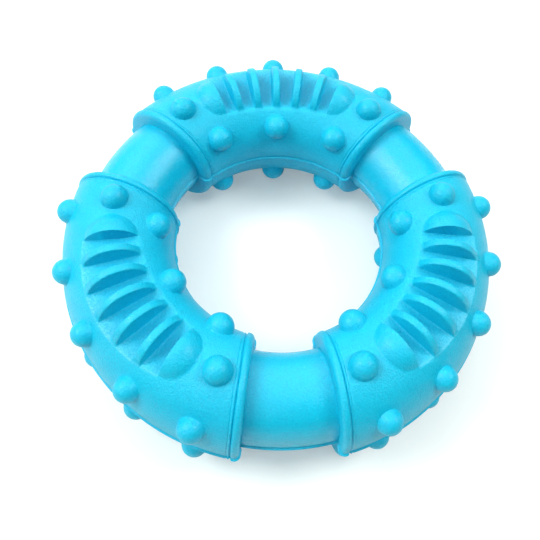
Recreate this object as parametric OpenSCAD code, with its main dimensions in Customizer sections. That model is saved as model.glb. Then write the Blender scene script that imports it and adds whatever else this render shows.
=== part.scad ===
// Chew ring of rubber: a smooth ring carries three thicker sleeves with nubs and ribs.
// Every piece is moulded as an upper and a lower half, which meet at the seam, height zero.
// The ring's axis is Z, its centre is the origin, and the back sleeve lies at +Y.

/* [Ring] */
// Radius of the ring's centre line
ring_r = 45; // [42:0.5:60]
// Radius of the smooth neck's round section
neck_r = 11.7; // [10:0.1:12.4]
// Height of the straight wall between the seam and the neck's round section, in each half
neck_band = 0.3; // [0.1:0.1:0.6]

/* [Sleeves] */
// Thickness of a sleeve's round section over the smooth ring
sleeve_wall = 3.3; // [2.8:0.1:5]
// Height of the straight wall between the seam and the round section, in each half
sleeve_band = 1.2; // [0.6:0.1:2]
// Distance from the ring's axis to the point from which a sleeve's ribs and end faces fan out
fan_shift = 4; // [0:0.1:6]
// Angle between the two end faces at that point
sleeve_deg = 101.8; // [98:0.2:106]
// Clearance for the bond between the smooth ring and a sleeve
bond_gap = 0.15; // [0.1:0.05:0.3]

/* [Collars] */
// Width of a collar, from the end face to the wide groove
collar_w = 1.85; // [1.6:0.05:2.6]
// Height of a collar above the sleeve
collar_rise = 0.3; // [0.2:0.05:0.8]
// Radius of the rounded rim at a collar's end face
collar_round = 1.3; // [0.8:0.1:1.5]
// Width of the wide groove beside a collar
groove_w = 0.6; // [0.4:0.05:0.9]
// Width of the ridge between the two grooves
ridge_w = 0.3; // [0.2:0.05:0.6]
// Width of the narrow groove beside the ridge
hairline_w = 0.35; // [0.25:0.05:0.5]
// Depth of the wide groove
groove_depth = 0.5; // [0.3:0.05:0.9]
// Depth of the narrow groove
hairline_depth = 0.3; // [0.2:0.05:0.6]

/* [Nubs] */
// Number of nubs in the outer row of each half
outer_nubs = 5; // [3:2:5]
// Angle of the ring from one outer nub to the next
outer_pitch = 18; // [14:0.5:18.5]
// Angle of the outer row above the seam, seen in the section
outer_lean = 29.5; // [25:0.5:34]
// Radius of an outer nub
outer_nub_r = 3.4; // [2.4:0.1:4]
// Number of nubs in the inner row of each half
inner_nubs = 3; // [1:2:3]
// Angle of the ring from one inner nub to the next
inner_pitch = 30; // [22:0.5:31]
// Angle of the inner row above the seam, seen in the section
inner_lean = 40; // [34:1:44]
// Radius of an inner nub
inner_nub_r = 3.65; // [2.6:0.05:3.9]
// Angle of the ring from a sleeve's middle to the nub on its crest
end_nub_deg = 37.5; // [36.5:0.1:37.9]
// Radius of a nub on the crest
end_nub_r = 3.6; // [2.6:0.1:3.7]

/* [Ribs] */
// Number of ribs in each half, between two domed ends
ribs = 5; // [3:2:5]
// Angle from one rib to the next, at the point from which they fan out
rib_pitch = 9.03; // [8.4:0.01:9.1]
// Thickness of a rib
rib_t = 2.1; // [1.4:0.1:2.8]
// Radius of the middle rib's arch
rib_r = 8.05; // [7.4:0.05:8.6]
// Radius of the domed ends; the ribs' arches go over to it bit by bit
dome_r = 7.55; // [7:0.05:8]
// Height of the middle rib above the sleeve's crest
rib_rise = 3.65; // [2.6:0.05:4.4]
// Height of the domed ends above the sleeve's crest
dome_rise = 2.5; // [2:0.05:3.2]
// Distance of the middle rib's centre line outside the ring's
rib_shift = 0.85; // [0:0.05:1.2]
// Distance of the domed ends' centre line outside the ring's
dome_shift = 0.15; // [0:0.05:1]
// Distance of a domed end's ball centre beyond its flat face
dome_setback = 0.4; // [0:0.1:1]
// How much narrower the slots beside the domed ends are than the others
end_slot_trim = 0.3; // [0:0.1:1]
// Depth of the slots' floor below the sleeve's crest beside the middle rib
slot_depth = 2.5; // [1.8:0.05:2.8]
// Depth of the slots' floor below the sleeve's crest beside the domed ends
end_slot_depth = 2; // [1.4:0.05:2.4]
// Angle by which the floor beside the middle rib drops towards the ring's outside
slot_lean = 4; // [0:0.5:5]

/* [Seam] */
// Width of the flash that stands out along the seam
flash_w = 0.47; // [0.22:0.05:0.62]
// Thickness of the flash in each half
flash_t = 0.3; // [0.2:0.05:0.5]

/* [Hidden] */
$fn = 64;
// directions of the three sleeves round the ring
back_deg = 90;
left_deg = 210;
right_deg = 330;
// overrun of every cut past what it cuts
over = 1;
// clearance of the rounded rim's straight part round the curved collar
rim_gap = 0.12;
sleeve_colour = [0.16, 0.75, 0.9];
core_colour = [0.13, 0.7, 0.87];
sleeve_r = neck_r + sleeve_wall;
collar_r = sleeve_r + collar_rise;
crest_z = sleeve_band + sleeve_r;
end_turn = sleeve_deg / 2;
// angle between an end face and the plane through the ring's axis, where both cross the ring's centre line
end_lean = asin(fan_shift * sin(end_turn) / ring_r);
// the rounded rim's axis meets the ring's centre line half the rim's radius behind the end face
rim_shift = -collar_round / 2 * tan(end_lean);
// direction of the domed ends' flat faces, about where the next rib's face would stand
dome_turn = (ribs + 1) / 2 * rib_pitch - asin((rib_t / 2 + end_slot_trim) / (ring_r - fan_shift));

// distance from the point from which a sleeve fans out to the ring's centre line, in a direction
function fan_reach(turn) =
    sqrt(pow(ring_r, 2) - pow(fan_shift * sin(turn), 2)) - fan_shift * cos(turn);

// a size in a direction of the fan: it goes over from one value in the sleeve's middle to another at the domes
function along(middle, end, turn) = middle + (end - middle) * pow(turn / dome_turn, 2);

// height of the centre of an arch with a radius, which rises by some height above the crest
function arch_z(r, rise) = crest_z + rise - r;

// places its children symmetrically at both ends of a sleeve
module both_ends() {
    children();
    mirror([0, 1, 0]) children();
}

// turns an outline round the ring's axis, from one angle to another
module sweep(from_deg, to_deg) {
    rotate([0, 0, from_deg])
        rotate_extrude(angle = to_deg - from_deg)
            children();
}

// upper half of a section: a straight wall at the seam, then a half circle
module half_section(r, band) {
    intersection() {
        union() {
            translate([ring_r, band]) circle(r);
            translate([ring_r - r, 0]) square([2 * r, band]);
        }
        translate([ring_r - r - over, 0]) square([2 * (r + over), band + r + over]);
    }
}

// a flat lip as wide as a section with its flash on both sides
module flash_section(r) {
    translate([ring_r - r - flash_w, 0]) square([2 * (r + flash_w), flash_t]);
}

// upper half of the smooth ring, grown by a clearance
module core_half(gap) {
    rotate_extrude() {
        half_section(neck_r + gap, neck_band);
        translate([ring_r - neck_r - flash_w - gap, 0])
            square([2 * (neck_r + flash_w + gap), flash_t + gap]);
    }
}

// the space that the smooth ring takes out of a sleeve, open at the seam
module core_space() {
    core_half(bond_gap);
    translate([0, 0, -over])
        rotate_extrude()
            translate([ring_r - neck_r - bond_gap, 0]) square([2 * (neck_r + bond_gap), 2 * over]);
}

// places its children on the ring's centre line in a direction of the fan, which becomes their X
module on_fan(turn) {
    translate([fan_shift, 0, 0])
        rotate([0, 0, turn])
            translate([fan_reach(turn), 0, 0])
                children();
}

// everything between two upright planes of the fan, one on each side, both moved inwards by a distance
module fan_wedge(turn, inset) {
    reach = ring_r + collar_r + over;
    translate([fan_shift + inset / sin(turn), 0, -over])
        linear_extrude(crest_z + rib_rise + 3 * over)
            polygon([[0, 0], [reach, -reach * tan(turn)], [reach, reach * tan(turn)]]);
}

// outline of a rounded tube end, from its axis outwards and from its end face inwards
module rim_outline(r, corner, reach) {
    square([r - corner, reach]);
    translate([0, corner]) square([r, reach - corner]);
    translate([r - corner, corner]) circle(corner);
}

// a flat plate with the outline of a rounded tube end, on both sides of its axis
module rim_plate(r, corner, reach, thickness) {
    linear_extrude(thickness)
        for (side = [0, 1])
            mirror([side, 0]) mirror([0, 1]) rim_outline(r, corner, reach);
}

// a straight tube end with a rounded rim, behind a sleeve's end face
module rounded_rim(r, reach) {
    on_fan(end_turn)
        translate([rim_shift, 0, 0]) {
            translate([0, 0, sleeve_band])
                rotate([90, 0, 0])
                    rotate_extrude(angle = 180)
                        rim_outline(r, collar_round, reach);
            rim_plate(r, collar_round, reach, sleeve_band);
        }
}

// a collar: a raised band whose rim is rounded off towards the neck; the wide groove trims its other side
module collar() {
    intersection() {
        sweep(0, end_turn) half_section(collar_r, sleeve_band);
        rounded_rim(collar_r + rim_gap, collar_w + groove_w / 2);
    }
}

// the plain round section, which runs on under the collars as far as their middles
module tube() {
    intersection() {
        sweep(-end_turn, end_turn) half_section(sleeve_r, sleeve_band);
        fan_wedge(end_turn, collar_w / 2);
    }
}

// a groove across the sleeve near both ends, from one distance before the end faces to another
module groove(near, far, depth) {
    difference() {
        intersection() {
            sweep(-end_turn, end_turn)
                difference() {
                    half_section(sleeve_r + over, sleeve_band);
                    half_section(sleeve_r - depth, sleeve_band);
                }
            fan_wedge(end_turn, near);
        }
        fan_wedge(end_turn, far);
    }
}

module grooves() {
    groove(collar_w, collar_w + groove_w, groove_depth);
    hairline_near = collar_w + groove_w + ridge_w;
    groove(hairline_near, hairline_near + hairline_w, hairline_depth);
}

// the thin lip squeezed out at the seam, along a sleeve's sides and down its end faces
module flash() {
    intersection() {
        sweep(-end_turn, end_turn) flash_section(sleeve_r);
        fan_wedge(end_turn, collar_w / 2);
    }
    both_ends()
        intersection() {
            sweep(0, end_turn) flash_section(collar_r);
            on_fan(end_turn)
                translate([rim_shift, flash_w, 0])
                    rim_plate(collar_r + rim_gap + flash_w, collar_round + flash_w,
                              collar_w - flash_t + flash_w, flash_t + over);
        }
}

// half a ball on the sleeve, at an angle round the ring and a lean above the seam
module nub(at_deg, lean, r) {
    rotate([0, 0, at_deg])
        translate([ring_r + sleeve_r * cos(lean), 0, sleeve_band + sleeve_r * sin(lean)])
            sphere(r);
}

module nubs() {
    for (k = [-(outer_nubs - 1) / 2 : (outer_nubs - 1) / 2])
        nub(k * outer_pitch, outer_lean, outer_nub_r);
    for (k = [-(inner_nubs - 1) / 2 : (inner_nubs - 1) / 2])
        nub(k * inner_pitch, 180 - inner_lean, inner_nub_r);
    both_ends() nub(end_nub_deg, 90, end_nub_r);
}

// a rib: an upright disc across the sleeve, whose arch stands above the crest, less near the domed ends
module rib(turn) {
    r = along(rib_r, dome_r, turn);
    on_fan(turn)
        translate([along(rib_shift, dome_shift, turn), 0, arch_z(r, along(rib_rise, dome_rise, turn))])
            rotate([90, 0, 0])
                cylinder(r = r, h = rib_t, center = true);
}

// the ball that makes a domed end, before the slots are cut
module dome() {
    on_fan(dome_turn)
        translate([dome_shift, dome_setback, arch_z(dome_r, dome_rise)])
            sphere(dome_r);
}

// everything above the floor of two slots, one on each side of the middle, as far as the middles of the ribs
// beyond them or the domed ends; the floors of the slots between them lie deeper
module slot_space(turn) {
    depth = along(slot_depth, end_slot_depth, turn);
    last_turn = min(turn + rib_pitch / 2, dome_turn);
    intersection() {
        sweep(-last_turn, last_turn)
            translate([ring_r, crest_z - depth])
                rotate(along(-slot_lean, 0, turn))
                    translate([-sleeve_r, 0]) square([2 * sleeve_r, depth + rib_rise + over]);
        fan_wedge(last_turn, 0);
    }
}

// upper half of a sleeve whose middle lies at angle zero
module sleeve_half() {
    difference() {
        union() {
            difference() {
                union() {
                    tube();
                    both_ends() {
                        collar();
                        dome();
                    }
                }
                for (k = [1 / 2 : ribs / 2])
                    slot_space(k * rib_pitch);
                grooves();
            }
            for (k = [-(ribs - 1) / 2 : (ribs - 1) / 2])
                rib(k * rib_pitch);
            nubs();
            flash();
        }
        core_space();
    }
}

module core_upper() {
    color(core_colour) core_half(0);
}

module core_lower() {
    color(core_colour) mirror([0, 0, 1]) core_half(0);
}

module sleeve_upper(at_deg) {
    color(sleeve_colour) rotate([0, 0, at_deg]) sleeve_half();
}

module sleeve_lower(at_deg) {
    color(sleeve_colour) mirror([0, 0, 1]) rotate([0, 0, at_deg]) sleeve_half();
}

core_upper();
core_lower();
sleeve_upper(back_deg);  // sleeve_back_upper
sleeve_lower(back_deg);  // sleeve_back_lower
sleeve_upper(left_deg);  // sleeve_left_upper
sleeve_lower(left_deg);  // sleeve_left_lower
sleeve_upper(right_deg);  // sleeve_right_upper
sleeve_lower(right_deg);  // sleeve_right_lower
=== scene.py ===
import math

import bpy
import numpy as np
from mathutils import Matrix, Vector


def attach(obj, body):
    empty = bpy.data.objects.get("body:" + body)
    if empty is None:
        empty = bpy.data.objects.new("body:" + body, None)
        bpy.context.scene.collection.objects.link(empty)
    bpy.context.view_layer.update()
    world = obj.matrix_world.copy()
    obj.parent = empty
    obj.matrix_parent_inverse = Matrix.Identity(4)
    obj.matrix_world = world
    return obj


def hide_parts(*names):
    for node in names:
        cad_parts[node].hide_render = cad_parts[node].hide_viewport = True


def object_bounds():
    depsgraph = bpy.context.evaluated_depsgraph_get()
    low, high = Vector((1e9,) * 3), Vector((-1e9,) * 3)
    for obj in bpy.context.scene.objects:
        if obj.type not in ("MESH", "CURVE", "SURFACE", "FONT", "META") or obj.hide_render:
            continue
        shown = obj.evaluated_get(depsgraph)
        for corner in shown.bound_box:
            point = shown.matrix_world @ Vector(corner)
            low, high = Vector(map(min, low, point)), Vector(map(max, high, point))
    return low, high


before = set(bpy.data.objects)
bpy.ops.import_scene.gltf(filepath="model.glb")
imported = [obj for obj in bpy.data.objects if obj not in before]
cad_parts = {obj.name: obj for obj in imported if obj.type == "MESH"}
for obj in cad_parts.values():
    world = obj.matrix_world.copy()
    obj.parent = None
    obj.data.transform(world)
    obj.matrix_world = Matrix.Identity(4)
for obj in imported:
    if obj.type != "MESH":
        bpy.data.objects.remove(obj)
cad_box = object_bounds()

# The camera looks down on the ring from the front, steeply, as a person standing over a table does.
# Its place, turn, focal length and the centre of its picture were worked out from the ring's round outlines,
# the ends of the sleeves and the rows of nubs, all taken together.
MM = 0.001
view_round, view_up, view_roll = math.radians(-10.20), math.radians(59.61), math.radians(8.24)
aim = Vector((3.92, 9.91, 0.0))
distance = 188.82
# in pixels of the square picture: its side, the focal length and the point straight ahead of the camera
picture, focal, ahead_x, ahead_y = 540, 634.3, 291.12, 212.71
back = Vector(
    (math.sin(view_round) * math.cos(view_up), -math.cos(view_round) * math.cos(view_up), math.sin(view_up))
)
level = Vector((math.cos(view_round), math.sin(view_round), 0.0))
upright = back.cross(level)
picture_right = math.cos(view_roll) * level + math.sin(view_roll) * upright
picture_up = -math.sin(view_roll) * level + math.cos(view_roll) * upright
lens = bpy.data.cameras.new("camera")
lens.sensor_width = 36.0
lens.lens = focal / picture * lens.sensor_width
lens.shift_x = (picture / 2 - ahead_x) / picture
lens.shift_y = (ahead_y - picture / 2) / picture
lens.clip_start, lens.clip_end = 0.01, 20.0
camera = bpy.data.objects.new("camera", lens)
facing = Matrix((picture_right, picture_up, back)).transposed().to_4x4()
camera.matrix_world = Matrix.Translation((aim + distance * back) * MM) @ facing
bpy.context.scene.collection.objects.link(camera)
bpy.context.scene.camera = camera

# The smooth ring: a solid bar of soft blue rubber bent into a circle, which shows as three bare necks.
# It is moulded as an upper and a lower half. They meet at half its height, where a thin lip of rubber, the
# flash, was squeezed out between the two halves of the mould.
RING_R = 45.0
NECK_R = 11.7
# the straight band between the bar's round section and the seam, and how far the flash stands out, in
# millimetres
NECK_BAND = 0.3
FLASH_W = 0.47
# heights above the seam, and how far the surface stands out there as a share of the flash's width: first
# the lip, then a shallow furrow above it
LIP_HEIGHTS = np.array([0.0, 0.08, 0.2, 0.27, 0.31, 0.4, 0.52, 0.72])
LIP_SHARES = np.array([0.8, 1.0, 1.0, 0.75, 0.0, -0.45, -0.4, 0.0])
# the blue of the smooth ring and the sleeves: its two tones, a paler blue painted on the flash's lip as a
# painted highlight, and a whitish blue for painted sheen with some scuffing on the slots' floors
BLUE = {
    "deep": (0.002, 0.43, 0.655, 1.0),
    "pale": (0.004, 0.55, 0.75, 1.0),
    "thin": (0.12, 0.82, 0.94, 1.0),
    "scuff_sheen_white": (0.42, 0.85, 0.95, 1.0),
}


def ring_half(columns, rows):
    """Upper half of the smooth ring, and its faces. The ring angle u goes once round; v goes over the half
    section, from the outer side of the seam over the top to the inner side: x = R + r cos v, z = band + r
    sin v. Below the band both sides run straight down to the seam. The lip and its furrow change r with the
    height above the seam, and the flat underside closes the ring."""
    u = np.linspace(0, 2 * np.pi, columns, endpoint=False)
    low = np.arcsin(np.maximum(LIP_HEIGHTS - NECK_BAND, 0) / NECK_R)
    # the even rows begin above the furrow
    first = 0.07
    v = np.concatenate([low, np.linspace(first, np.pi - first, rows), np.pi - low[::-1]])
    z = np.minimum(LIP_HEIGHTS, NECK_BAND)
    z = np.concatenate([z, np.full(rows, NECK_BAND), z[::-1]]) + NECK_R * np.sin(v)
    x = RING_R + (NECK_R + FLASH_W * np.interp(z, LIP_HEIGHTS, LIP_SHARES)) * np.cos(v)
    u, x = np.meshgrid(u, x, indexing="ij")
    points = np.stack([x * np.cos(u), x * np.sin(u), np.broadcast_to(z, x.shape)], axis=-1)
    index = np.arange(x.size).reshape(x.shape)
    after, beside = np.roll(index, -1, axis=0), np.roll(index, -1, axis=1)
    corner = np.roll(after, -1, axis=1)
    faces = np.stack([index, after, corner, beside], axis=-1).reshape(-1, 4)
    return points.reshape(-1, 3), faces


def add_piece(name, points, faces, caps=()):
    """A mesh object from points in millimetres, four-sided faces and a few many-sided caps."""
    mesh = bpy.data.meshes.new(name)
    mesh.from_pydata((points * MM).tolist(), [], faces.tolist() + [list(cap) for cap in caps])
    mesh.shade_smooth()
    mesh.set_sharp_from_angle(angle=math.radians(38))
    piece = bpy.data.objects.new(name, mesh)
    bpy.context.scene.collection.objects.link(piece)
    return piece


class Wire:
    """The output of a shader node. Arithmetic on it adds Math nodes, and node() adds any other node."""

    def __init__(self, tree, socket=None):
        self.tree, self.socket = tree, socket

    def node(self, kind, settings=None, values=None, output=0):
        """Adds a node: its settings come first, then the values or wires of its inputs, by name or number.
        Returns the wire of one output, if the node has any."""
        made = self.tree.nodes.new(kind)
        for name, value in (settings or {}).items():
            setattr(made, name, value)
        for name, value in (values or {}).items():
            if isinstance(value, Wire):
                self.tree.links.new(value.socket, made.inputs[name])
            else:
                made.inputs[name].default_value = value
        return Wire(self.tree, made.outputs[output]) if len(made.outputs) else None

    def math(self, operation, *values):
        return self.node("ShaderNodeMath", {"operation": operation}, dict(enumerate(values)))

    def __add__(self, other):
        return self.math("ADD", self, other)

    def __sub__(self, other):
        return self.math("SUBTRACT", self, other)

    def __rsub__(self, other):
        return self.math("SUBTRACT", other, self)

    def __mul__(self, other):
        return self.math("MULTIPLY", self, other)

    __radd__, __rmul__ = __add__, __mul__


def rubber(name, deep, pale, thin, scuff_sheen_white, roughness, ior, film, grain):
    """Coloured rubber. Three noises added up, wide drifts, a mottle and a fine grain, take its tone from
    deep to pale. The lip at the seam is painted a paler blue, a painted highlight where the flash catches
    the light, and whitish specks are painted where the mesh is marked for them: painted sheen with some
    scuffing.
    The same noises make the relief, whose height grows with grain, and change the roughness a little. The
    film is a share of gloss on top."""
    material = bpy.data.materials.new(name)
    material.use_nodes = True
    tree = material.node_tree
    tree.nodes.clear()
    start = Wire(tree)
    place = start.node("ShaderNodeTexCoord", output="Object")

    def noise(scale, detail):
        values = {"Vector": place, "Scale": scale, "Detail": detail, "Roughness": 0.55}
        return start.node("ShaderNodeTexNoise", values=values)

    def mixed(factor, colour, other):
        values = {"Factor": factor, 6: colour, 7: other}
        return start.node("ShaderNodeMix", {"data_type": "RGBA"}, values, output=2)

    # patches about 26 mm, 2.4 mm and 0.4 mm across
    drift, mottle, fine = noise(38.0, 2.0), noise(420.0, 3.0), noise(2300.0, 2.0)
    tone = (drift - 0.5) * 0.7 + (mottle - 0.5) * 0.35 + (fine - 0.5) * 1.9 + 0.5
    colour = mixed(tone, deep, pale)
    # the lip ends between these two heights above and below the seam
    height = start.node("ShaderNodeSeparateXYZ", values={"Vector": place}, output="Z").math("ABSOLUTE")
    lip_ends = {"Value": height, "From Min": 0.36 * MM, "From Max": 0.24 * MM}
    lip = start.node("ShaderNodeMapRange", values=lip_ends)
    # painted highlight: the lip at the seam is painted a paler blue, as if it caught the light
    colour = mixed(lip * 0.8, colour, thin)
    # painted sheen with some scuffing: whitish specks on the slots' floors, stronger towards their outer
    # ends
    scuff_and_sheen = start.node("ShaderNodeAttribute", {"attribute_name": "scuff_and_sheen"}, output="Fac")
    speckle = start.node("ShaderNodeMapRange", values={"Value": fine, "From Min": 0.30, "From Max": 0.70})
    colour = mixed(scuff_and_sheen * speckle * 0.2, colour, scuff_sheen_white)
    relief = start.node(
        "ShaderNodeBump",
        values={
            "Height": fine * 1.5 + mottle * 0.6 + drift * 1.5,
            "Distance": grain * 0.1 * MM,
            "Strength": 1.0,
        },
    )
    surface = start.node(
        "ShaderNodeBsdfPrincipled",
        values={
            "Base Color": colour,
            "Roughness": (mottle - 0.5) * 0.10 + (drift - 0.5) * 0.12 + roughness,
            "Normal": relief,
            "IOR": ior,
            "Coat Weight": film,
            "Coat Roughness": 0.2,
        },
    )
    start.node("ShaderNodeOutputMaterial", values={"Surface": surface})
    return material


neck_rubber = rubber("neck_rubber", **BLUE, roughness=0.24, ior=1.46, film=0.0, grain=0.9)
points, faces = ring_half(columns=480, rows=73)
for name, sign in (("core_upper", 1), ("core_lower", -1)):
    half = add_piece(name + "_rubber", points * (1, 1, sign), faces[:, ::-sign])
    half.data.materials.append(neck_rubber)
    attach(half, "root")
    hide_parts(name)

# The three sleeves: thicker matt rubber bonded round the smooth ring, each moulded as an upper and a lower
# half. Each half carries five upright ribs between two domed ends, rows of round nubs, and at both ends a
# collar with a rounded rim, set off by a wide and a narrow groove.
SLEEVE_R = 15.0
COLLAR_R = 15.3
RIM_ROUND = 1.3
# the straight band between the round section and the seam, the height of the crest, and the gap to the
# smooth ring
SLEEVE_BAND = 1.2
CREST_Z = SLEEVE_BAND + SLEEVE_R
BOND_GAP = 0.04
# ribs, domed ends and end faces stand in upright planes that fan out from a point, which lies off the
# ring's axis towards the sleeve's middle; their directions are in degrees from the sleeve's middle
FAN_SHIFT = 4.0
RIB_PITCH = 9.03
DOME_TURN = 25.2
END_TURN = 50.9
# ribs on each side of the middle one, their thickness, and how far the domes' middles lie behind their flat
# faces
RIBS_BESIDE = 2
RIB_T = 2.1
DOME_SETBACK = 0.4
# sizes beside the sleeve's middle and beside its domed ends: radius of the ribs' arches, their height above
# the crest, how far outside the ring's centre line they stand, and the slot floor's depth, its slope and
# the height by which it curves up at a distance CURVE_AT from the ring's centre line
RIB_R = (8.05, 7.55)
RIB_RISE = (3.65, 2.5)
RIB_SHIFT = (0.85, 0.15)
SLOT_DEPTH = (2.55, 2.2)
SLOT_SLOPE = (0.068, 0.01)
SLOT_CURVE = (0.0, 0.45)
CURVE_AT = 7.2
# how near two surfaces come before they round into each other: at the foot of a dome, between a dome's flat
# face and the slots' floor, at the slots' edges, at a rib's edges, and at the feet of ribs and nubs
DOME_FOOT = 0.1
FLOOR_CORNER = 0.2
SLOT_EDGE = 0.22
RIB_EDGE = 0.55
RIB_FOOT = 0.7
NUB_FOOT = 0.16
# rows of nubs: angle of each nub's row above the seam, pitch round the ring, nubs on one side, radius
OUTER_NUBS = (29.5, 18.0, 2, 3.4)
INNER_NUBS = (140.0, 30.0, 1, 3.65)
# the nub on the crest near each end: angle above the seam, angle round the ring from the sleeve's middle,
# radius
CREST_NUB = (90.0, 37.5, 3.6)
# distance before the end face against the section's radius: the collar, then two grooves with a ridge
# between them
PROFILE_D = np.array([1.55, 1.72, 1.84, 1.95, 2.12, 2.3, 2.42, 2.54, 2.68, 2.8, 2.92, 3.04, 3.16, 3.3])
PROFILE_R = np.array(
    [15.3, 15.27, 15.18, 14.92, 14.62, 14.84, 14.98, 15.03, 15.0, 14.9, 14.82, 14.9, 14.98, 15.0]
)
# where the whitish specks on the slots' floors, painted sheen with some scuffing, begin and where they are
# full, outside the ring's centre line, and how near to the floor's height the surface has to be
SCUFF_SHEEN_SPAN = (4.5, 8.5)
SCUFF_SHEEN_NEAR = 0.12


def fan_reach(degrees):
    """Distance from the point of the fan to the ring's centre line, in a direction."""
    turn = np.radians(degrees)
    return np.sqrt(RING_R**2 - (FAN_SHIFT * np.sin(turn)) ** 2) - FAN_SHIFT * np.cos(turn)


def along(sizes, degrees):
    """A size in a direction of the fan: it goes over from one value in the middle to another at the domed
    end."""
    middle, end = sizes
    return middle + (end - middle) * np.minimum(degrees / DOME_TURN, 1) ** 2


def joined(a, b, k):
    """Smaller of two distances, rounded where they are closer than k: a fillet between two shapes."""
    h = np.maximum(k - np.abs(a - b), 0)
    return np.minimum(a, b) - h * h / (4 * k)


def cut(a, b, k):
    """Larger of two distances, rounded where they are closer than k: an edge rounded off."""
    return -joined(-a, -b, k)


def nub_distance(x, z, turn, lean, radius):
    """Distance to a ball centred on the section's round surface, with the ring angle turn measured from
    it."""
    ring = RING_R + SLEEVE_R * math.cos(math.radians(lean))
    high = SLEEVE_BAND + SLEEVE_R * math.sin(math.radians(lean))
    return np.sqrt((x * np.cos(turn) - ring) ** 2 + (x * np.sin(turn)) ** 2 + (z - high) ** 2) - radius


def slot_floor(across, degrees):
    """Height of the slots' floor, at a distance across from the ring's centre line, positive outwards."""
    curve = along(SLOT_CURVE, degrees) * (across / CURVE_AT) ** 2
    return CREST_Z - along(SLOT_DEPTH, degrees) - along(SLOT_SLOPE, degrees) * across + curve


def sleeve_distance(x, turn, z):
    """Signed distance to the upper half of a sleeve, at distance x from the ring's axis, ring angle turn in
    radians from the sleeve's middle and height z: a tube with its profile of grooves and collar, joined
    with a dome, cut by the slots' floor, then joined with upright discs for the ribs and with balls for the
    nubs."""
    off_x, off_y = x * np.cos(turn) - FAN_SHIFT, x * np.sin(turn)
    reach, fan_turn = np.hypot(off_x, off_y), np.arctan2(off_y, off_x)
    degrees = np.degrees(fan_turn)
    profile = np.interp(reach * np.sin(math.radians(END_TURN) - fan_turn), PROFILE_D, PROFILE_R)
    tube = np.hypot(x - RING_R, np.maximum(z - SLEEVE_BAND, 0)) - profile
    # the dome, and the slots as far as its flat face
    at = fan_turn - math.radians(DOME_TURN)
    out, aside = reach * np.cos(at) - fan_reach(DOME_TURN) - RIB_SHIFT[1], reach * np.sin(at)
    dome_z = CREST_Z + RIB_RISE[1] - RIB_R[1]
    dome = np.sqrt(out**2 + (aside - DOME_SETBACK) ** 2 + (z - dome_z) ** 2) - RIB_R[1]
    body = joined(tube, dome, DOME_FOOT)
    slot = cut(aside, slot_floor(x - RING_R, degrees) - z, FLOOR_CORNER)
    body = cut(body, -slot, SLOT_EDGE)
    # the nearest rib
    middle = RIB_PITCH * np.clip(np.round(degrees / RIB_PITCH), 0, RIBS_BESIDE)
    at = fan_turn - np.radians(middle)
    out = reach * np.cos(at) - fan_reach(middle) - along(RIB_SHIFT, middle)
    arch_r = along(RIB_R, middle)
    arch_z = CREST_Z + along(RIB_RISE, middle) - arch_r
    rib = cut(np.hypot(out, z - arch_z) - arch_r, np.abs(reach * np.sin(at)) - RIB_T / 2, RIB_EDGE)
    body = joined(body, rib, RIB_FOOT)
    # the nearest nub of each row
    for lean, pitch, most, radius in (OUTER_NUBS, INNER_NUBS):
        nearest = turn - math.radians(pitch) * np.clip(np.round(np.degrees(turn) / pitch), 0, most)
        body = joined(body, nub_distance(x, z, nearest, lean, radius), NUB_FOOT)
    lean, middle, radius = CREST_NUB
    return joined(body, nub_distance(x, z, turn - math.radians(middle), lean, radius), NUB_FOOT)


def sleeve_columns():
    """Columns of the outer surface from a sleeve's middle to its end. Each lies at a distance in
    millimetres from the fan's plane with a direction in degrees. They crowd together at both faces of every
    rib, at the domes' flat faces and at the grooves. The last one is where the rim begins to turn down to
    the end face."""
    foot = np.array([0.03, 0.09, 0.17, 0.27, 0.42])
    edge = np.array([0.03, 0.08, 0.14, 0.22, 0.4])
    face = np.concatenate([-edge[::-1], foot])
    stations = [(0.0, 0.0)] + [(0.0, RIB_T / 2 + t) for t in face]
    for at in RIB_PITCH * np.arange(1, RIBS_BESIDE + 1):
        stations += [(at, -RIB_T / 2 - t) for t in face[::-1]] + [(at, 0.0)]
        stations += [(at, RIB_T / 2 + t) for t in face]
    stations += [(DOME_TURN, t) for t in np.concatenate([-foot[::-1], edge])]
    # the dome's outer foot, then the near side and the middle of the nub on the crest
    stations += [(at, 0.0) for at in (33.1, 36.0, 40.8)]
    before_grooves = 3.45
    stations += [(END_TURN, -t) for t in np.concatenate([[before_grooves], PROFILE_D[::-1], [RIM_ROUND]])]
    return np.array(stations)


def filled(stations, spacing):
    """Weights that fill in columns between the stations, evenly, no further apart than the spacing."""
    place = np.radians(stations[:, 0]) * (RING_R - FAN_SHIFT) + stations[:, 1]
    steps = np.maximum(1, np.ceil(np.diff(place) / spacing)).astype(int)
    start = np.repeat(np.arange(len(steps)), steps)
    share = (np.arange(len(start)) - np.repeat(np.cumsum(steps) - steps, steps)) / steps[start]
    weights = np.zeros((len(start) + 1, len(stations)))
    weights[np.arange(len(start)), start] = 1 - share
    weights[np.arange(len(start)), start + 1] = share
    weights[-1, -1] = 1
    return weights


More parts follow.
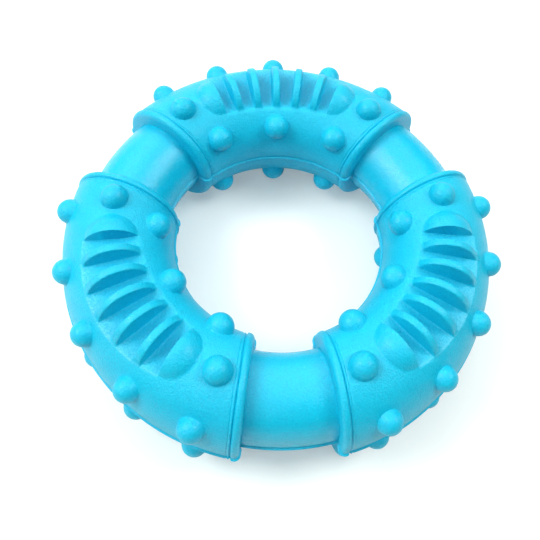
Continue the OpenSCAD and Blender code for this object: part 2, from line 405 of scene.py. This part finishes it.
def crowded(turn, lean):
    """Draws the grid in towards the foot circle of every nub. At a distance d from a nub's centre, in its
    radii, a point moves to a distance that rises fast at first, stays near 1 for a while, and is d again
    from 1.6 on."""
    distances = (0, 0.4, 0.75, 0.95, 1.08, 1.2, 1.4, 1.6)
    drawn_to = (0, 0.48, 0.86, 0.98, 1.02, 1.07, 1.3, 1.6)
    # the grooves beside the crest nub keep their columns: it moves none beyond this angle, and fewer just
    # before it
    grooves_at, fade = 42.9, 2.0
    rows = (OUTER_NUBS, INNER_NUBS)
    nubs = [(row, k * pitch, radius) for row, pitch, most, radius in rows for k in range(most + 1)]
    for row, at, radius in nubs + [CREST_NUB]:
        ring = RING_R + SLEEVE_R * math.cos(math.radians(row))
        a = (turn - math.radians(at)) * ring / radius
        b = (lean - math.radians(row)) * SLEEVE_R / radius
        d = np.maximum(np.hypot(a, b), 1e-6)
        free = np.clip((grooves_at - np.degrees(turn)) / fade, 0, 1) if row == CREST_NUB[0] else 1.0
        move = np.where(d < distances[-1], (np.interp(d, distances, drawn_to) / d - 1) * free, 0)
        turn, lean = turn + a * move * radius / ring, lean + b * move * radius / SLEEVE_R
    return turn, lean


def section_rows(degrees, spacing):
    """Angles of the rows over the section, from the outer side of the seam over the top to the inner side,
    for each column in a direction of the fan. One row follows each of the two edges at which the slots'
    floor meets the round section. Their angles v, for which band + r sin v is the floor's height, are found
    by repetition."""
    outer = inner = np.full(len(degrees), 1.0)
    for _ in range(30):
        outer = np.arcsin((slot_floor(SLEEVE_R * np.cos(outer), degrees) - SLEEVE_BAND) / SLEEVE_R)
        inner = np.arcsin((slot_floor(-SLEEVE_R * np.cos(inner), degrees) - SLEEVE_BAND) / SLEEVE_R)
    # three arcs: up to the outer edge, over the crest, and down from the inner edge
    arcs = np.stack([0 * outer, outer, np.pi - inner, np.pi + 0 * outer], axis=-1)
    counts = np.ceil(np.diff(arcs[0]) * SLEEVE_R / spacing).astype(int)
    place = np.concatenate([k + np.arange(n) / n for k, n in enumerate(counts)] + [[len(counts)]])
    part = np.minimum(place.astype(int), len(counts) - 1)
    return arcs[:, part] + (arcs[:, part + 1] - arcs[:, part]) * (place - part)


def outermost(distance, shape):
    """For each ray from the section's centre, the first radius, from outside, at which it meets the
    surface. It steps inwards until the signed distance at that radius is negative, then halves the last
    step over and over."""
    far, near, step, halvings = 21.0, 11.9, 0.2, 14
    outside = np.full(shape, far)
    inside = outside.copy()
    found = np.zeros(shape, bool)
    for r in np.arange(far - step, near, -step):
        hit = ~found & (distance(np.full(shape, r)) < 0)
        inside[hit], outside[hit] = r, r + step
        found |= hit
    for _ in range(halvings):
        half = (inside + outside) / 2
        out = distance(half) > 0
        outside, inside = np.where(out, half, outside), np.where(out, inside, half)
    return (inside + outside) / 2


def scuff_and_sheen_at(x, z, degrees):
    """How strongly a point gets the whitish specks, painted sheen with some scuffing, from 0 to 1: only on
    the slots' floors, and more and more towards their outer ends."""
    across = x - RING_R
    on_floor = (np.abs(z - slot_floor(across, degrees)) < SCUFF_SHEEN_NEAR) & (degrees < DOME_TURN)
    return np.interp(across, SCUFF_SHEEN_SPAN, (0, 1)) * on_floor


def closing_columns(height, cos, sin, lip):
    """Columns that close a sleeve after its last outer one, as distances from the ring's axis, heights and
    ring angles: the rim's quarter round, the end face, and the bore back to the sleeve's middle. On the rim
    and the end face a column has a radius, R - r (1 - cos b) in the round, and a distance before the end
    face, r (1 - sin b). The lip stands out from both. The bore is wide enough at the seam for the smooth
    ring's lip."""
    rim_steps = bore_steps = 8
    # radii of the two columns on the end face
    face_r = [13.3, 12.6]
    bend = np.radians(np.linspace(0, 90, rim_steps + 1)[1:])
    rim_r = np.concatenate([COLLAR_R - RIM_ROUND * (1 - np.cos(bend)), face_r])[:, None]
    rim_d = np.concatenate([RIM_ROUND * (1 - np.sin(bend)), [0.0, 0.0]])[:, None]
    rim_r = rim_r + lip * np.concatenate([np.cos(bend), [0.0, 0.0]])[:, None]
    rim_d = rim_d - lip * np.concatenate([np.sin(bend), [1.0, 1.0]])[:, None]
    # the smooth ring's straight band is lower than the sleeve's, so the bore's rows over it lie close
    # together
    bore_r = NECK_R + BOND_GAP + np.where(height < SLEEVE_BAND, FLASH_W, 0)
    low_z = np.minimum(height, NECK_BAND + 0.02 * height)
    bore_z = np.where(height == SLEEVE_BAND, NECK_BAND + bore_r * sin, low_z)
    end_x = np.concatenate([RING_R + rim_r * cos, [RING_R + bore_r * cos]])
    end_d = np.concatenate([rim_d, 0 * rim_d[:1]])
    face_turn = math.radians(END_TURN)
    end_turn = face_turn - np.arcsin((end_d + FAN_SHIFT * math.sin(face_turn)) / end_x)
    x = np.concatenate([end_x, np.tile(end_x[-1], (bore_steps, 1))])
    z = np.concatenate([height + rim_r * sin, np.tile(bore_z, (bore_steps + 1, 1))])
    turn = np.concatenate([end_turn, end_turn[-1] * np.linspace(1, 0, bore_steps + 1)[1:, None]])
    return x, z, turn


def sleeve_half(spacing):
    """Upper half of a sleeve, with its faces, its caps and how strongly each point gets the whitish specks
    of painted sheen with some scuffing. The grid goes round the ring in u and over the section in v. For
    each grid point the surface is found along the ray from the section's centre: the first place, from
    outside, at which sleeve_distance falls to zero. Mirrored columns make the other side of the sleeve's
    middle. The rim, the end faces and the bore close it, and the two strips at the seam are the caps."""
    stations = sleeve_columns()
    weights = filled(stations, spacing)
    column_deg = weights @ (stations[:, 0] + np.degrees(stations[:, 1] / (RING_R - FAN_SHIFT)))
    # rows up the straight band, over the round section and down the inner side's band
    low = np.append(LIP_HEIGHTS, 0.95)
    band = np.zeros((len(column_deg), len(low)))
    lean = np.concatenate([band, section_rows(column_deg, spacing), band + np.pi], axis=1)
    height = np.concatenate([low, np.full(lean.shape[1] - 2 * len(low), SLEEVE_BAND), low[::-1]])
    lip = FLASH_W * np.interp(height, LIP_HEIGHTS, LIP_SHARES)
    # ring angle of each column at the distance from the ring's axis that each row has
    reach = RING_R + COLLAR_R * np.cos(lean)
    direction = np.radians(stations[:, 0])
    each = direction + np.arcsin((stations[:, 1] - FAN_SHIFT * np.sin(direction)) / reach[:, :, None])
    turn = np.einsum("cs,crs->cr", weights, each)
    moved_turn, moved_lean = crowded(turn, lean)
    on_arc = height == SLEEVE_BAND
    turn = np.where(on_arc, moved_turn, turn)
    lean = np.where(on_arc, np.clip(moved_lean, 0, np.pi), lean)
    cos, sin = np.cos(lean), np.where(on_arc, np.sin(lean), 0)
    radius = outermost(lambda r: sleeve_distance(RING_R + r * cos, turn, height + r * sin), turn.shape) + lip
    x, z = RING_R + radius * cos, height + radius * sin
    scuff_and_sheen = scuff_and_sheen_at(x, z, column_deg[:, None])
    closing = closing_columns(height, cos[-1], sin[-1], lip)
    x, z, turn = (np.concatenate([grid, added]) for grid, added in zip((x, z, turn), closing))
    scuff_and_sheen = np.concatenate([scuff_and_sheen, np.zeros((len(x) - len(scuff_and_sheen), len(height)))])
    # the other side of the middle is the mirror image, without the first and the last column
    mirrored = slice(-2, 0, -1)
    x, z, scuff_and_sheen = (np.concatenate([grid, grid[mirrored]]) for grid in (x, z, scuff_and_sheen))
    turn = np.concatenate([turn, -turn[mirrored]])
    points = np.stack([x * np.cos(turn), x * np.sin(turn), z], axis=-1)
    index = np.arange(x.size).reshape(x.shape)
    after = np.roll(index, -1, axis=0)
    faces = np.stack([index[:, :-1], after[:, :-1], after[:, 1:], index[:, 1:]], axis=-1).reshape(-1, 4)
    return points.reshape(-1, 3), faces, (index[::-1, 0], index[:, -1]), scuff_and_sheen.ravel()


sleeve_rubber = rubber("sleeve_rubber", **BLUE, roughness=0.38, ior=1.35, film=0.1, grain=1.6)
points, faces, caps, scuff_and_sheen = sleeve_half(spacing=0.36)
for name, at in (("sleeve_back", 90.0), ("sleeve_left", 210.0), ("sleeve_right", 330.0)):
    turned = points @ np.array(Matrix.Rotation(math.radians(at), 3, "Z").transposed())
    for part, sign in (("_upper", 1), ("_lower", -1)):
        seam_strips = [cap[::-sign] for cap in caps]
        half = add_piece(name + part + "_rubber", turned * (1, 1, sign), faces[:, ::-sign], seam_strips)
        # the attribute marks where the whitish specks of painted sheen with some scuffing go
        half.data.attributes.new("scuff_and_sheen", "FLOAT", "POINT").data.foreach_set("value", scuff_and_sheen)
        half.data.materials.append(sleeve_rubber)
        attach(half, "root")
        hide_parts(name + part)

# The floor: a large sheet of plain white card under the ring, which rests on its lowest ribs. It takes the
# ring's soft shadow. To the camera it is lifted to white by a faint glow of its own, and away from the
# ring, where the windows don't reach, it is plain white.
card_colour = (0.79, 0.83, 0.80, 1.0)
white = (1.0, 1.0, 1.0, 1.0)
glow_strength = 0.24
# in metres: half its width, how far from the ring's axis the plain white begins and is full, and its height
floor_half, white_from, white_full = 3.0, 0.14, 0.45
floor_z = cad_box[0][2] - 0.02 * MM
corners = floor_half * np.array([(-1, -1, 0), (1, -1, 0), (1, 1, 0), (-1, 1, 0)]) + (0, 0, floor_z)
floor = add_piece("floor", corners / MM, np.array([[0, 1, 2, 3]]))
card = bpy.data.materials.new("white_card")
card.use_nodes = True
card.node_tree.nodes.clear()
start = Wire(card.node_tree)
paper = start.node("ShaderNodeBsdfDiffuse", values={"Color": card_colour})
seen = start.node("ShaderNodeLightPath", output="Is Camera Ray")
glow = start.node("ShaderNodeEmission", values={"Color": white, "Strength": seen * glow_strength})
near = start.node("ShaderNodeAddShader", values={0: paper, 1: glow})
place = start.node("ShaderNodeTexCoord", output="Object")
away = start.node("ShaderNodeVectorMath", {"operation": "LENGTH"}, {0: place}, output="Value")
far = start.node(
    "ShaderNodeMapRange",
    {"interpolation_type": "SMOOTHSTEP"},
    {"Value": away, "From Min": white_from, "From Max": white_full},
)
plain = start.node("ShaderNodeEmission", values={"Color": white, "Strength": 1.0})
both = start.node("ShaderNodeMixShader", values={0: far * seen, 1: near, 2: plain})
start.node("ShaderNodeOutputMaterial", values={"Surface": both})
floor.data.materials.append(card)

# The light: soft daylight from a wide skylight overhead, a white wall behind the ring and a smaller window
# on either side. A low window on the left and the room in front add a little. The room all round is dim,
# but the camera sees it white.
room_strength = 0.05
world = bpy.data.worlds.new("room")
bpy.context.scene.world = world
world.use_nodes = True
world.node_tree.nodes.clear()
start = Wire(world.node_tree)
seen = start.node("ShaderNodeLightPath", output="Is Camera Ray")
room = start.node(
    "ShaderNodeBackground",
    values={"Color": (0.97, 0.99, 1.0, 1.0), "Strength": seen * (1 - room_strength) + room_strength},
)
start.node("ShaderNodeOutputWorld", values={"Surface": room})


def add_window(name, place, wide, watts):
    """A square white area lamp at a place in metres, turned towards the ring."""
    lamp = bpy.data.lights.new(name, "AREA")
    lamp.size, lamp.energy = wide, watts
    window = bpy.data.objects.new(name, lamp)
    window.location = place
    window.rotation_euler = (-Vector(place)).to_track_quat("-Z", "Y").to_euler()
    bpy.context.scene.collection.objects.link(window)


add_window("skylight", (-0.10, 0.25, 0.85), wide=1.3, watts=6.0)
add_window("white wall behind", (-0.12, 1.14, 0.60), wide=1.4, watts=6.2)
add_window("window right", (0.59, 0.05, 0.68), wide=0.36, watts=4.2)
add_window("window left", (-0.58, 0.06, 0.68), wide=0.40, watts=4.8)
add_window("low window left", (-0.80, -0.10, 0.35), wide=0.6, watts=1.7)
add_window("room in front", (-0.30, -0.55, 0.66), wide=0.7, watts=1.4)

bpy.context.scene.view_settings.view_transform = "Standard"
